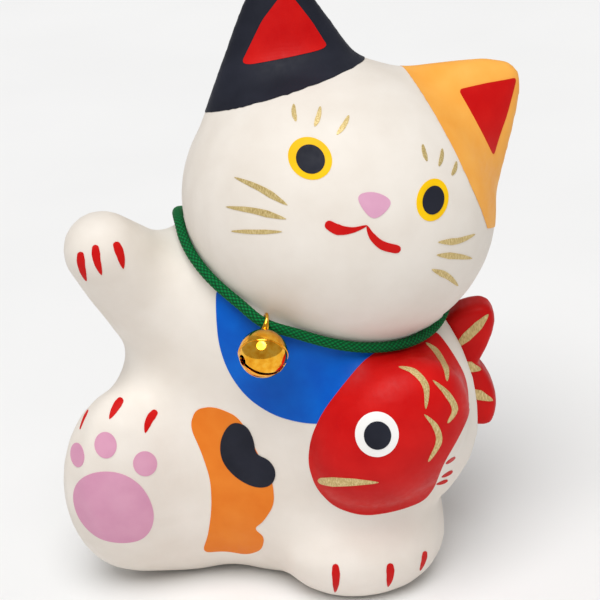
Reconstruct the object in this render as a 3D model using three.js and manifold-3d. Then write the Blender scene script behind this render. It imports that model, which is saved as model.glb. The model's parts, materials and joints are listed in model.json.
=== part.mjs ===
// A seated ceramic cat figurine holding a sea bream, with a bell on a braided neck cord.
// Millimetres, +Z up. The cat faces -Y, so its left side is at +X.
// Each ceramic piece is a slip casting, luted to its neighbours before firing.

import * as THREE from "three";
import { mergeVertices } from "three/addons/utils/BufferGeometryUtils.js";
import Module from "manifold-3d";

const wasm = await Module();
wasm.setup();

// ---- Driving dimensions --------------------------------------------------------------------

const GAP = 0.3;                       // room between neighbouring pieces
const WALL = 4.2;                      // thickness of a slip-cast wall
const EAR_TAPER = 0.37;                // how much narrower an ear is at its tip
const POUR_HOLE_RADIUS = 5;            // pour and vent hole in the base
const POUR_HOLE_AT = [-4, 6];

const HEAD_CENTRE = [9.4, -6, 81.8];
const HEAD_RADII = [32.3, 30, 29.4];   // across the cheeks, front to back, chin to crown
const HEAD_TURN = [-11.5, 22.5, 7];    // degrees: chin up, tilted to the cat's left, turned left

const NECK_DROP = 13.9;                // head centre to the neck seam, along the seam's normal
const NECK_LEAN = [0.43, 0.26];        // radians: the seam's lean towards +X and towards -Y
const CORD_RADIUS = 1.1;
const CORD_RING = [29.4, 27.9];        // half width of the cord's loop, and its depth in front
const CORD_BACK = [25.2, 9];           // its depth behind, and how far it droops there
const DROOP_LEFT = [0.3, 1.3];         // radians where the droop starts and is full, cat's left
const DROOP_RIGHT = [2.5, 3.4];        // where it is full and ends, over the right shoulder
const KNOT_HALF_ANGLE = 0.13;          // radians of the loop that the knot takes up at the back
const KNOT_STAND_OFF = 3.6;            // its middle lies this far behind the cord's loop
const KNOT_SIZE = [1.9, 0.75];         // radius of the trefoil, and of the cord pulled tight in it

const BELL_ANGLE = -1.865;             // radians round the cord's loop, from the cat's left
const BELL_RADIUS = 4.8;
const BELL_WALL = 0.45;
const BELL_CROWN = [0.094, 0.874, 0.476];  // the way its loop points: it lies tipped on the chest
const BELL_SLOT_WIDTH = 0.7;
const BELL_SLOT_DEPTH = 0.1;           // the slot ends this far below the rim, in bell radii
const BELL_HOLE_RADIUS = 0.95;
const BELL_HOLE_ANGLE = 1.02;          // radians from the bell's foot to each round hole
const LOOP_RADIUS = 1.8;
const LOOP_WIRE = 0.38;
const LOOP_LIFT = 1.4;                 // how far the loop holds the cord off the neck
const LIFT_SPREAD = 0.16;              // radians of the cord's loop that the lift dies out over
const PELLET_RADIUS = 1.8;

const BIG = 200;                       // size of a cutting block

// ---- Small helpers -------------------------------------------------------------------------

const vec = (p) => new THREE.Vector3(...p);
const rad = THREE.MathUtils.degToRad;
const turned = ([x, y, z]) => new THREE.Quaternion().setFromEuler(
  new THREE.Euler(rad(x), rad(y), rad(z), "ZXY"));

function material(color, roughness, metalness = 0) {
  return new THREE.MeshStandardMaterial({ color, roughness, metalness });
}

// A closed geometry as a solid: shared corners merged, empty triangles dropped.
function solid(geometry) {
  const bare = new THREE.BufferGeometry();
  bare.setAttribute("position", geometry.getAttribute("position").clone());
  if (geometry.index) bare.setIndex(geometry.index.clone());
  const merged = mergeVertices(bare, 1e-4);
  const corners = merged.index.array;
  const kept = [];
  for (let i = 0; i < corners.length; i += 3) {
    const [a, b, c] = corners.slice(i, i + 3);
    if (a !== b && b !== c && c !== a) kept.push(a, b, c);
  }
  return new wasm.Manifold(new wasm.Mesh({
    numProp: 3,
    vertProperties: new Float32Array(merged.getAttribute("position").array),
    triVerts: new Uint32Array(kept),
  }));
}

function geometryOf(body) {
  const mesh = body.getMesh();
  const geometry = new THREE.BufferGeometry();
  geometry.setAttribute("position", new THREE.BufferAttribute(mesh.vertProperties, 3));
  geometry.setIndex(new THREE.BufferAttribute(mesh.triVerts, 1));
  geometry.computeVertexNormals();
  return geometry;
}

const join = (first, ...others) => others.reduce((body, other) => body.add(other), first);
const cut = (first, ...others) => others.reduce((body, other) => body.subtract(other), first);

// ---- Rounded clay forms --------------------------------------------------------------------

// One ellipsoid of a clay form: its centre, its three radii and its turn in degrees.
function lump(centre, radii, turn = [0, 0, 0]) {
  return { centre: vec(centre), radii, back: turned(turn).invert() };
}

// About how far a point lies outside one ellipsoid, negative inside it.
function lumpDistance(point, { centre, radii, back }) {
  const p = point.clone().sub(centre).applyQuaternion(back);
  const near = Math.hypot(p.x / radii[0], p.y / radii[1], p.z / radii[2]);
  const slope = Math.hypot(p.x / radii[0] ** 2, p.y / radii[1] ** 2, p.z / radii[2] ** 2);
  return slope > 0 ? near * (near - 1) / slope : -Math.min(...radii);
}

// The lumps of a form run together, as clay does, over about `blend` millimetres.
function formDistance(point, lumps, blend) {
  const sum = lumps.reduce((total, one) => total + Math.exp(-lumpDistance(point, one) / blend), 0);
  return -blend * Math.log(sum);
}

// A sphere round `middle` whose corners are pushed out to the form's surface, moved by `grow`.
function rounded(lumps, { middle, blend = 2.5, grow = 0, around = 32, up = 22 }) {
  const geometry = new THREE.SphereGeometry(1, around, up).rotateX(Math.PI / 2);
  const position = geometry.getAttribute("position");
  const start = vec(middle);
  for (let i = 0; i < position.count; i += 1) {
    const way = new THREE.Vector3().fromBufferAttribute(position, i).normalize();
    const at = (length) => start.clone().addScaledVector(way, length);
    let outside = 90;
    while (formDistance(at(outside), lumps, blend) > grow && outside > 1) outside -= 1;
    let inside = outside;
    outside += 1;
    for (let step = 0; step < 16; step += 1) {
      const half = (inside + outside) / 2;
      if (formDistance(at(half), lumps, blend) > grow) outside = half;
      else inside = half;
    }
    position.setXYZ(i, ...at(inside).toArray());
  }
  return geometry;
}

// A round-ended limb along a smooth curve, with its radius given at each point of the curve.
function limb(points, radii, { sides = 16, rings = 8, caps = 4, grow = 0 } = {}) {
  const curve = new THREE.CatmullRomCurve3(points.map(vec));
  const geometry = new THREE.CapsuleGeometry(1, 2, caps, sides, rings);
  const position = geometry.getAttribute("position");
  for (let i = 0; i < position.count; i += 1) {
    const [x, y, z] = new THREE.Vector3().fromBufferAttribute(position, i).toArray();
    const straight = THREE.MathUtils.clamp(y, -1, 1);
    const along = (straight + 1) / 2;
    const place = along * (radii.length - 1);
    const before = Math.min(Math.floor(place), radii.length - 2);
    const radius = THREE.MathUtils.lerp(radii[before], radii[before + 1], place - before) + grow;
    const forward = curve.getTangent(along);
    const side = new THREE.Vector3(0, 1, 0.01).cross(forward).normalize();
    const over = forward.clone().cross(side);
    const corner = curve.getPoint(along)
      .addScaledVector(forward, (y - straight) * radius)
      .addScaledVector(side, z * radius)
      .addScaledVector(over, x * radius);
    position.setXYZ(i, ...corner.toArray());
  }
  return geometry;
}

// ---- Neck seam and cord loop ---------------------------------------------------------------

const headCentre = vec(HEAD_CENTRE);
const headTurn = turned(HEAD_TURN);
const [leanLeft, leanFront] = NECK_LEAN;
const neckUp = vec([
  Math.sin(leanLeft) * Math.cos(leanFront),
  -Math.sin(leanFront),
  Math.cos(leanLeft) * Math.cos(leanFront),
]);
const neckLeft = vec([Math.cos(leanLeft), 0, -Math.sin(leanLeft)]);
const neckBack = neckUp.clone().cross(neckLeft);
const neckCentre = headCentre.clone().addScaledVector(neckUp, -NECK_DROP);
const neckTurn = new THREE.Quaternion().setFromRotationMatrix(
  new THREE.Matrix4().makeBasis(neckLeft, neckBack, neckUp));

const TURN = 2 * Math.PI;

// The cord's loop: an ellipse in the seam's plane in front, lower behind, over the shoulders.
class CordLoop extends THREE.Curve {
  constructor(from, to) {
    super();
    this.from = from;
    this.to = to;
  }

  getPoint(t, target = new THREE.Vector3()) {
    const angle = this.from + (this.to - this.from) * t;
    const fromBell = (angle - BELL_ANGLE - TURN) / LIFT_SPREAD;
    const lift = LOOP_LIFT * Math.exp(-fromBell * fromBell);
    const depth = Math.sin(angle) > 0 ? CORD_BACK[0] : CORD_RING[1];
    const droop = CORD_BACK[1] * THREE.MathUtils.smoothstep(angle % TURN, ...DROOP_LEFT)
      * (1 - THREE.MathUtils.smoothstep(angle % TURN, ...DROOP_RIGHT));
    return target.copy(neckCentre)
      .addScaledVector(neckLeft, (CORD_RING[0] + lift) * Math.cos(angle))
      .addScaledVector(neckBack, (depth + lift) * Math.sin(angle))
      .addScaledVector(neckUp, -droop);
  }
}

function cordTube(from, to, radius, steps, sides = 8) {
  const ring = new THREE.Shape(Array.from({ length: sides }, (_, i) => {
    const angle = 2 * Math.PI * i / sides;
    return new THREE.Vector2(radius * Math.cos(angle), radius * Math.sin(angle));
  }));
  return new THREE.ExtrudeGeometry(ring, {
    steps, bevelEnabled: false, extrudePath: new CordLoop(from, to),
  });
}

const BACK = Math.PI / 2;
const ROOM_OVERLAP = 0.1;              // radians that the two halves of the cord's groove share
const cordRoom = join(
  solid(cordTube(BACK, BACK + Math.PI, CORD_RADIUS + GAP, 44)),
  solid(cordTube(BACK + Math.PI - ROOM_OVERLAP, BACK + 2 * Math.PI, CORD_RADIUS + GAP, 46)),
);

// A block on one side of the seam, its face `shift` above the seam.
function neckBlock(side, shift) {
  const block = new THREE.BoxGeometry(BIG, BIG, BIG);
  block.translate(0, 0, side * BIG / 2 + shift);
  block.applyQuaternion(neckTurn);
  block.translate(...neckCentre.toArray());
  return solid(block);
}

// ---- Head ----------------------------------------------------------------------------------

const inHead = (p) => vec(p).applyQuaternion(headTurn).add(headCentre);

// A tapered ear with a rounded tip: its foot and tip, half width and half thickness.
function ear(foot, tip, halfWidth, halfThickness, widthAlong) {
  const geometry = new THREE.SphereGeometry(1, 18, 14).rotateX(Math.PI / 2);
  const position = geometry.getAttribute("position");
  const axis = vec(tip).sub(vec(foot));
  const across = vec(widthAlong).normalize();
  const through = new THREE.Vector3(0, 1, 0);
  for (let i = 0; i < position.count; i += 1) {
    const [x, y, z] = new THREE.Vector3().fromBufferAttribute(position, i).toArray();
    const height = (z + 1) / 2;
    const ring = Math.max(Math.hypot(x, y), 1e-6);
    const taper = Math.min(Math.sqrt(1 - height) * (1 - EAR_TAPER * height), 6 * height);
    const corner = vec(foot).addScaledVector(axis, height)
      .addScaledVector(across, halfWidth * taper * x / ring)
      .addScaledVector(through, halfThickness * taper ** 0.75 * y / ring);
    const atPole = ring < 1e-5 ? vec(foot).addScaledVector(axis, height) : corner;
    position.setXYZ(i, ...inHead(atPole.toArray()).toArray());
  }
  return solid(geometry);
}

const headLumps = [lump(HEAD_CENTRE, HEAD_RADII, HEAD_TURN)];
const headSkin = (grow, around = 32, up = 22) => solid(
  rounded(headLumps, { middle: HEAD_CENTRE, grow, around, up }));

const rightEar = ear([-15.4, 0, 12], [-27.6, -3, 42.4], 21, 8.5, [24.5, 0, 18.2]);
const leftEar = ear([13, 0, 15.5], [26.4, -2, 36.4], 21, 8.5, [26.6, 0, -15]);

const headCasting = cut(
  join(headSkin(0), rightEar, leftEar),
  headSkin(-WALL, 20, 14),
  neckBlock(-1, GAP / 2),
  cordRoom,
);

// ---- Body ----------------------------------------------------------------------------------

const chestCentre = neckCentre.clone()
  .addScaledVector(neckUp, -10).addScaledVector(neckBack, -1.5).toArray();
const CHEST_TURN = new THREE.Euler().setFromQuaternion(neckTurn, "ZXY");
const chestTurn = [CHEST_TURN.x, CHEST_TURN.y, CHEST_TURN.z].map(THREE.MathUtils.radToDeg);

const torsoLumps = [
  lump(chestCentre, [28.8, 27, 24], chestTurn),
  lump([-22, -1, 47], [14.5, 15, 14]),
  lump([-4, 4, 27], [31, 30, 33]),
];
const rightLegLumps = [
  lump([-26, 2, 22], [22, 22, 25]),
  lump([-38.3, -12, 25.6], [15.3, 12, 23.6], [14, 0, 18]),
];
const leftLegLumps = [
  lump([10, 0, 12], [17, 24, 18]),
  lump([8, -17, 10], [18, 15, 11.5]),
];

const torso = (grow, around, up) => solid(rounded(torsoLumps,
  { middle: [-1, 2, 40], blend: 5, grow, around, up }));
const rightLeg = (grow, around, up) => solid(rounded(rightLegLumps,
  { middle: [-30, -4, 22], blend: 3, grow, around, up }));
const leftLeg = (grow, around, up) => solid(rounded(leftLegLumps,
  { middle: [10, -8, 11], blend: 3, grow, around, up }));

const floorBlock = solid(new THREE.BoxGeometry(BIG, BIG, BIG).translate(0, 0, -BIG / 2));
const bodySkin = (grow) => join(torso(grow, 32, 22), rightLeg(grow, 22, 16), leftLeg(grow, 22, 14));
const bodyRoom = bodySkin(GAP);

const pourHole = solid(new THREE.CylinderGeometry(POUR_HOLE_RADIUS, POUR_HOLE_RADIUS, 20, 24)
  .rotateX(Math.PI / 2).translate(...POUR_HOLE_AT, WALL));
const bodyHollow = cut(
  join(torso(-WALL, 20, 14), rightLeg(-WALL, 12, 10), leftLeg(-WALL, 12, 10)),
  solid(new THREE.BoxGeometry(BIG, BIG, BIG).translate(0, 0, WALL - BIG / 2)),
);

const bodyCasting = cut(
  bodySkin(0),
  neckBlock(1, -GAP / 2),
  floorBlock,
  bodyHollow,
  pourHole,
  cordRoom,
);

// ---- Arms, bream and tail ------------------------------------------------------------------

const RIGHT_ARM = [[-38.6, -14, 78.6], [-33, -9, 70], [-23, -3, 58]];
const RIGHT_ARM_RADII = [8.2, 10.5, 15];
const LEFT_ARM = [[21.5, -8, 54], [27, -12, 43], [27.2, -16, 32], [22.8, -19, 26]];
const LEFT_ARM_RADII = [8, 7.5, 7.5, 7];

const headRoom = headSkin(GAP);
const rightArm = cut(solid(limb(RIGHT_ARM, RIGHT_ARM_RADII, { sides: 18, rings: 8 })),
  bodyRoom, headRoom, cordRoom);

const breamLumps = [lump([15.8, -26, 38.8], [18.5, 11, 15], [12, -45, 12])];
const breamSkin = (grow) => solid(rounded(breamLumps,
  { middle: [15.8, -26, 38.8], grow, around: 28, up: 20 }));
const bream = cut(breamSkin(0), bodyRoom, headRoom, cordRoom);

const leftArmSkin = (grow) => solid(limb(LEFT_ARM, LEFT_ARM_RADII, { sides: 14, grow }));
const leftArm = cut(leftArmSkin(0), bodyRoom, breamSkin(GAP), headRoom, cordRoom);
const leftArmRoom = leftArmSkin(GAP);

// The bream's forked tail fin, drawn as seen from the front: X across and Z up.
const FIN_THICKNESS = 4;
const FIN_SHIFT = [0, -1, -0.9];       // from the drawing to its place beside the arm
const finOutline = new THREE.Shape();
finOutline.moveTo(27, 50);
finOutline.quadraticCurveTo(30.5, 57, 37.6, 56.8);
finOutline.quadraticCurveTo(43, 55.4, 36, 43.5);
finOutline.quadraticCurveTo(41.6, 36, 38.4, 29.5);
finOutline.quadraticCurveTo(34, 28, 30, 34);
finOutline.lineTo(27, 50);
const fin = new THREE.ExtrudeGeometry(finOutline, {
  depth: FIN_THICKNESS, steps: 1, curveSegments: 6,
  bevelThickness: 1.5, bevelSize: 1.2, bevelOffset: -1.2, bevelSegments: 2,
}).rotateX(Math.PI / 2);
const breamTail = cut(solid(fin.translate(...FIN_SHIFT)),
  bodyRoom, leftArmRoom, headRoom, cordRoom);

const TAIL = [[5, 29, 8], [0, 33, 12], [-4, 35, 19], [-3, 34, 26]];
const TAIL_RADII = [7, 6.6, 5.6, 4.4];
const catTail = cut(solid(limb(TAIL, TAIL_RADII, { sides: 14, caps: 3 })), bodyRoom, floorBlock);

// ---- Cord, knot and bell -------------------------------------------------------------------

const neckCord = cordTube(BACK + KNOT_HALF_ANGLE, BACK + 2 * Math.PI - KNOT_HALF_ANGLE,
  CORD_RADIUS, 68);

const knot = new THREE.TorusKnotGeometry(...KNOT_SIZE, 48, 8, 2, 3);

const cordLoop = new CordLoop(0, 2 * Math.PI);
const bellHang = cordLoop.getPoint((BELL_ANGLE + 2 * Math.PI) / (2 * Math.PI));
const bellCrown = vec(BELL_CROWN).normalize();
const bellDistance = LOOP_RADIUS + LOOP_WIRE + GAP + BELL_RADIUS;
const cordWay = cordLoop.getTangent((BELL_ANGLE + 2 * Math.PI) / (2 * Math.PI));
const swingAxis = cordWay.clone().addScaledVector(bellCrown, -cordWay.dot(bellCrown)).normalize();
const bellCentre = bellHang.clone().addScaledVector(bellCrown, -bellDistance);

// One half of the bell's wall, from the pole at +Y down to the rim.
function halfShell(rimAngle) {
  const outer = 9;
  const profile = [];
  for (let i = 0; i <= outer; i += 1) {
    const angle = rimAngle * i / outer;
    profile.push(new THREE.Vector2(BELL_RADIUS * Math.sin(angle), BELL_RADIUS * Math.cos(angle)));
  }
  const inside = BELL_RADIUS - BELL_WALL;
  for (let i = outer; i >= 0; i -= 1) {
    const angle = rimAngle * i / outer;
    profile.push(new THREE.Vector2(inside * Math.sin(angle), inside * Math.cos(angle)));
  }
  profile.reverse();
  profile[0].x = 0;
  profile[profile.length - 1].x = 0;
  return new THREE.LatheGeometry(profile, 26);
}

const RIM_ANGLE = Math.PI / 2 - GAP / 2 / BELL_RADIUS;
const bellUpper = halfShell(RIM_ANGLE);
const slot = solid(new THREE.BoxGeometry(
  2 * BELL_RADIUS * Math.sin(BELL_HOLE_ANGLE), 2 * BELL_RADIUS, BELL_SLOT_WIDTH)
  .translate(0, BELL_RADIUS * (1 + BELL_SLOT_DEPTH), 0));
const holes = [-1, 1].map((side) => solid(
  new THREE.CylinderGeometry(BELL_HOLE_RADIUS, BELL_HOLE_RADIUS, 3, 12)
    .translate(0, BELL_RADIUS, 0).rotateZ(side * BELL_HOLE_ANGLE)));
const bellLower = geometryOf(cut(solid(halfShell(RIM_ANGLE)), slot, ...holes))
  .rotateX(Math.PI);
const bellLoop = new THREE.TorusGeometry(LOOP_RADIUS, LOOP_WIRE, 8, 24).rotateY(Math.PI / 2);
const pellet = new THREE.SphereGeometry(PELLET_RADIUS, 14, 10);

// The bell's own frame: X along the swing axis, Y up through the crown.
const bell = new THREE.Group();
bell.position.copy(bellCentre);
bell.quaternion.setFromRotationMatrix(new THREE.Matrix4().makeBasis(
  swingAxis, bellCrown, swingAxis.clone().cross(bellCrown)));

// ---- The figurine --------------------------------------------------------------------------

const CLAY = material(0xece4da, 0.55);
const BRASS = material(0xd9a53a, 0.2, 1);
const CORD = material(0x0b5a33, 0.85);

function node(name, geometry, finish) {
  const mesh = new THREE.Mesh(geometry, finish.clone());
  mesh.name = name;
  return mesh;
}

const figurine = new THREE.Group();
figurine.add(
  node("head_casting", geometryOf(headCasting), CLAY),
  node("body_casting", geometryOf(bodyCasting), CLAY),
  node("raised_arm", geometryOf(rightArm), CLAY),
  node("left_arm", geometryOf(leftArm), CLAY),
  node("sea_bream", geometryOf(bream), material(0xc8201e, 0.5)),
  node("bream_tail_fin", geometryOf(breamTail), material(0xc8201e, 0.5)),
  node("cat_tail", geometryOf(catTail), CLAY),
  node("neck_cord", neckCord, CORD),
  bell,
);

const cordKnot = node("cord_knot", knot, CORD);
cordKnot.position.copy(cordLoop.getPoint(0.25)).addScaledVector(neckBack, KNOT_STAND_OFF);
cordKnot.quaternion.setFromRotationMatrix(
  new THREE.Matrix4().makeBasis(neckLeft, neckUp.clone().negate(), neckBack));
figurine.add(cordKnot);

const loop = node("bell_loop", bellLoop, BRASS);
loop.position.y = bellDistance;
const rollingPellet = node("bell_pellet", pellet, material(0x8a8c90, 0.35, 1));
const down = vec([0, 0, -1]).applyQuaternion(bell.quaternion.clone().invert());
rollingPellet.position.copy(down).multiplyScalar(BELL_RADIUS - BELL_WALL - GAP - PELLET_RADIUS);
bell.add(node("bell_upper_shell", bellUpper, BRASS), node("bell_lower_shell", bellLower, BRASS),
  loop, rollingPellet);

// The origin is on the surface the figurine stands on, under the middle of its outline.
const box = new THREE.Box3().setFromObject(figurine, true);
const middle = box.getCenter(new THREE.Vector3());
figurine.position.set(-middle.x, -middle.y, -box.min.z);

const part = new THREE.Group();
part.add(figurine);

export default part;
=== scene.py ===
# %% [markdown]
# # A lucky cat in painted bisque
# The real thing is a slip-cast clay cat, fired without a glaze and painted by hand in matt
# colours. It holds up one paw, hugs a red sea bream, and wears a bell on a braided cord.
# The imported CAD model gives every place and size. These lessons keep its frame and give each
# piece its surface: first the studio, then clay, paint, cord and brass.

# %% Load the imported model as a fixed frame
import json
import math

import bpy
import numpy as np
from mathutils import Euler, Matrix, Vector
from mathutils.bvhtree import BVHTree


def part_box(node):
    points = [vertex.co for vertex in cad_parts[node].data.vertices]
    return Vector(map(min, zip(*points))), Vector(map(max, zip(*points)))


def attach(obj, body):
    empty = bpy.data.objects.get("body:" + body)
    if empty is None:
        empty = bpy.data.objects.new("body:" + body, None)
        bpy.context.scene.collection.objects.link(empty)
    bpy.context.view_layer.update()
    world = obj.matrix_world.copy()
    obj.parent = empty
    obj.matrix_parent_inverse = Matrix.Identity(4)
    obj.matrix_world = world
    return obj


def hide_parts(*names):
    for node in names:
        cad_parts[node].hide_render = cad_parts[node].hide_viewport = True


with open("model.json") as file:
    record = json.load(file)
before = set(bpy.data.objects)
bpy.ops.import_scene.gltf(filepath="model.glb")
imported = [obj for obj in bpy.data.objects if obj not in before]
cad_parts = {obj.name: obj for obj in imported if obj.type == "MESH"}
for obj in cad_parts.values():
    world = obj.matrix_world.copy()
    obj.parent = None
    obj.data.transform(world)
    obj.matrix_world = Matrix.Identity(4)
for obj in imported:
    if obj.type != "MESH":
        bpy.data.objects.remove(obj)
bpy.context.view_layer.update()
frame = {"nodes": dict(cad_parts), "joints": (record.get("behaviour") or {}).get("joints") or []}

MM = 0.001

# %% [markdown]
# ## Camera
# A product view from a little above. The lens is long, so the cat keeps its proportions.
# Lens, distance and lean belong together, so they are set as one group. The camera's place is
# worked out from the point it looks at, instead of being dragged there.

# %% Set up the camera
LOOK_AT = Vector((2.6, 0.04, 58)) * MM
CAMERA_DISTANCE = 450 * MM
CAMERA_LENS = 128.6
CAMERA_SENSOR = 36
CAMERA_HEIGHT_ANGLE = math.radians(24)
CAMERA_LEAN = math.radians(-4.6)

toward_camera = Vector((0, -math.cos(CAMERA_HEIGHT_ANGLE), math.sin(CAMERA_HEIGHT_ANGLE)))
level_up = Vector((0, math.sin(CAMERA_HEIGHT_ANGLE), math.cos(CAMERA_HEIGHT_ANGLE)))
camera_right = Vector((math.cos(CAMERA_LEAN), 0, 0)) + math.sin(CAMERA_LEAN) * level_up
camera_up = toward_camera.cross(camera_right)

bpy.ops.object.select_all(action="DESELECT")
bpy.ops.object.camera_add()
camera = bpy.context.object
camera.data.sensor_width = CAMERA_SENSOR
camera.data.lens = CAMERA_LENS
camera.data.clip_start = 0.01
camera.matrix_world = Matrix.Translation(LOOK_AT + CAMERA_DISTANCE * toward_camera) @ Matrix(
    (camera_right, camera_up, toward_camera)).transposed().to_4x4()
bpy.context.scene.camera = camera
bpy.context.scene.view_settings.view_transform = "Standard"
print("camera at", [round(value, 3) for value in camera.location], "m")

# %% [markdown]
# ## Light and floor
# Matt clay asks for soft light. A sun with a very wide disc stands for a big soft box, high in
# front and a little to the left. It models the forms, and unlike a lamp close by it lights the
# floor evenly. A pale world fills the shadows.

# %% Light the studio and lay the floor
LIGHT_HEIGHT_ANGLE = math.radians(64)
LIGHT_TURN = math.radians(-10)
LIGHT_WIDTH = math.radians(42)
LIGHT_STRENGTH = 2.35
AIR_STRENGTH = 0.4
FLOOR_WIDTH_M = 40

light_way = Vector((math.sin(LIGHT_TURN) * math.cos(LIGHT_HEIGHT_ANGLE),
                    -math.cos(LIGHT_TURN) * math.cos(LIGHT_HEIGHT_ANGLE),
                    math.sin(LIGHT_HEIGHT_ANGLE)))
bpy.ops.object.light_add(type="SUN", location=light_way)
soft_box = bpy.context.object
soft_box.name = "soft_box"
soft_box.data.energy = LIGHT_STRENGTH
soft_box.data.angle = LIGHT_WIDTH
soft_box.rotation_euler = (-light_way).to_track_quat("-Z", "Y").to_euler()

studio_air = bpy.data.worlds.new("studio_air")
bpy.context.scene.world = studio_air
studio_air.use_nodes = True
air = studio_air.node_tree.nodes["Background"]
air.inputs["Color"].default_value = (1, 0.995, 0.985, 1)
air.inputs["Strength"].default_value = AIR_STRENGTH

bpy.ops.mesh.primitive_plane_add(size=FLOOR_WIDTH_M)
floor = bpy.context.object
floor.name = "studio_floor"
print("light and floor are in place")

# %% [markdown]
# ## Small tools
# Operators act on everything that is selected, so one tool selects exactly what is meant.
# Another adds a modifier and applies it at once, which leaves plain meshes behind.

# %% Helpers for picking, modifiers and reports
def pick(piece, *others):
    """Selects these objects alone, the first of them active."""
    if bpy.context.object and bpy.context.object.mode != "OBJECT":
        bpy.ops.object.mode_set(mode="OBJECT")
    bpy.ops.object.select_all(action="DESELECT")
    for one in (piece, *others):
        one.select_set(True)
    bpy.context.view_layer.objects.active = piece
    return piece


def apply_modifier(piece, kind, **settings):
    pick(piece)
    modifier = piece.modifiers.new(kind.lower(), kind)
    for setting, value in settings.items():
        setattr(modifier, setting, value)
    bpy.ops.object.modifier_apply(modifier=modifier.name)
    return piece


def joined(name, pieces):
    """Several meshes as one object."""
    pick(*pieces)
    if len(pieces) > 1:
        bpy.ops.object.join()
    pieces[0].name = name
    return pieces[0]


def smooth_up_to(piece, degrees):
    """Smooth shading, but edges sharper than this stay crisp."""
    pick(piece)
    bpy.ops.object.shade_smooth_by_angle(angle=math.radians(degrees))
    return piece


def corners_of(piece):
    """The mesh's corners as rows of X, Y and Z in metres."""
    corners = np.empty(len(piece.data.vertices) * 3)
    piece.data.vertices.foreach_get("co", corners)
    return corners.reshape(-1, 3)


def move_corners(piece, corners):
    piece.data.vertices.foreach_set("co", np.asarray(corners, float).ravel())
    piece.data.update()


def report(piece):
    corners = corners_of(piece) / MM
    triangles = sum(len(face.vertices) - 2 for face in piece.data.polygons)
    print(f"{piece.name}: {triangles} triangles, mm from {corners.min(0).round(1)}"
          f" to {corners.max(0).round(1)}")


# %% [markdown]
# ## Finishes
# Every finish here starts from the same few nodes. A noise pattern is read in the piece's own
# metres, so it stays in place when the piece moves. A ramp turns it into two or three close
# tones, and a bump node turns the fine part of it into relief. Numbers that are the same all
# over a surface are typed straight into the shader.

# %% Helpers for finishes
def tint(red, green, blue):
    """A colour as a paint chart gives it, 0 to 255, as the light values a shader wants."""
    return [(value / 255 / 12.92) if value <= 10 else ((value / 255 + 0.055) / 1.055) ** 2.4
            for value in (red, green, blue)] + [1]


def new_finish(name, roughness, metallic=0.0):
    finish = bpy.data.materials.new(name)
    finish.use_nodes = True
    shader = finish.node_tree.nodes["Principled BSDF"]
    shader.inputs["Roughness"].default_value = roughness
    shader.inputs["Metallic"].default_value = metallic
    return finish, finish.node_tree, shader


def noise(tree, scale, stretch=(1, 1, 1), detail=3.0):
    """A noise pattern with about `scale` lumps to the metre."""
    place = tree.nodes.new("ShaderNodeTexCoord")
    mapping = tree.nodes.new("ShaderNodeMapping")
    pattern = tree.nodes.new("ShaderNodeTexNoise")
    mapping.inputs["Scale"].default_value = stretch
    pattern.inputs["Scale"].default_value = scale
    pattern.inputs["Detail"].default_value = detail
    tree.links.new(place.outputs["Object"], mapping.inputs["Vector"])
    tree.links.new(mapping.outputs["Vector"], pattern.inputs["Vector"])
    return pattern.outputs[0]


def tones(tree, pattern, socket, *stops):
    """Colours the socket by the pattern: each stop is a place from 0 to 1 and a colour."""
    ramp = tree.nodes.new("ShaderNodeValToRGB")
    while len(ramp.color_ramp.elements) < len(stops):
        ramp.color_ramp.elements.new(0.5)
    for element, (place, colour) in zip(ramp.color_ramp.elements, stops):
        element.position = place
        element.color = colour
    tree.links.new(pattern, ramp.inputs["Fac"])
    tree.links.new(ramp.outputs["Color"], socket)


def vary(tree, pattern, socket, low, high):
    """Lets a plain number follow the pattern between two values."""
    span = tree.nodes.new("ShaderNodeMapRange")
    span.inputs["From Min"].default_value = 0.3
    span.inputs["From Max"].default_value = 0.7
    span.inputs["To Min"].default_value = low
    span.inputs["To Max"].default_value = high
    tree.links.new(pattern, span.inputs["Value"])
    tree.links.new(span.outputs["Result"], socket)


def relief(tree, shader, strength, depth_mm, *patterns):
    """Turns patterns into fine relief, one bump after another."""
    last = None
    for pattern in patterns:
        bump = tree.nodes.new("ShaderNodeBump")
        bump.inputs["Strength"].default_value = strength
        bump.inputs["Distance"].default_value = depth_mm * MM
        tree.links.new(pattern, bump.inputs["Height"])
        if last:
            tree.links.new(last.outputs["Normal"], bump.inputs["Normal"])
        last = bump
    tree.links.new(last.outputs["Normal"], shader.inputs["Normal"])


# %% [markdown]
# Unglazed white clay is warm, nearly even, and a little chalky. Close up it has a fine grain,
# faint lumps, and soft clouds where the white slip lies thicker.

# %% Bisque white and the floor's paper white
bisque_white, tree, shader = new_finish("bisque_white", 0.58)
shader.inputs["Specular IOR Level"].default_value = 0.35
tones(tree, noise(tree, 85, detail=4), shader.inputs["Base Color"],
      (0.30, tint(227, 218, 207)), (0.72, tint(237, 230, 221)))
vary(tree, noise(tree, 420), shader.inputs["Roughness"], 0.50, 0.66)
relief(tree, shader, 0.22, 0.05, noise(tree, 2600, detail=2), noise(tree, 260))

floor_paper, tree, shader = new_finish("floor_paper", 0.75)
tones(tree, noise(tree, 9), shader.inputs["Base Color"],
      (0.3, tint(237, 237, 237)), (0.7, tint(241, 241, 241)))
floor.data.materials.append(floor_paper)
print("bisque white and the floor paper are mixed")

# %% [markdown]
# The colours are matt poster paint. A flat brush leaves faint streaks, so a noise stretched
# along one direction drives the paint's roughness and its slight relief, while its tone drifts
# in wider clouds. Each colour is one call with its own chart tones.

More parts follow.
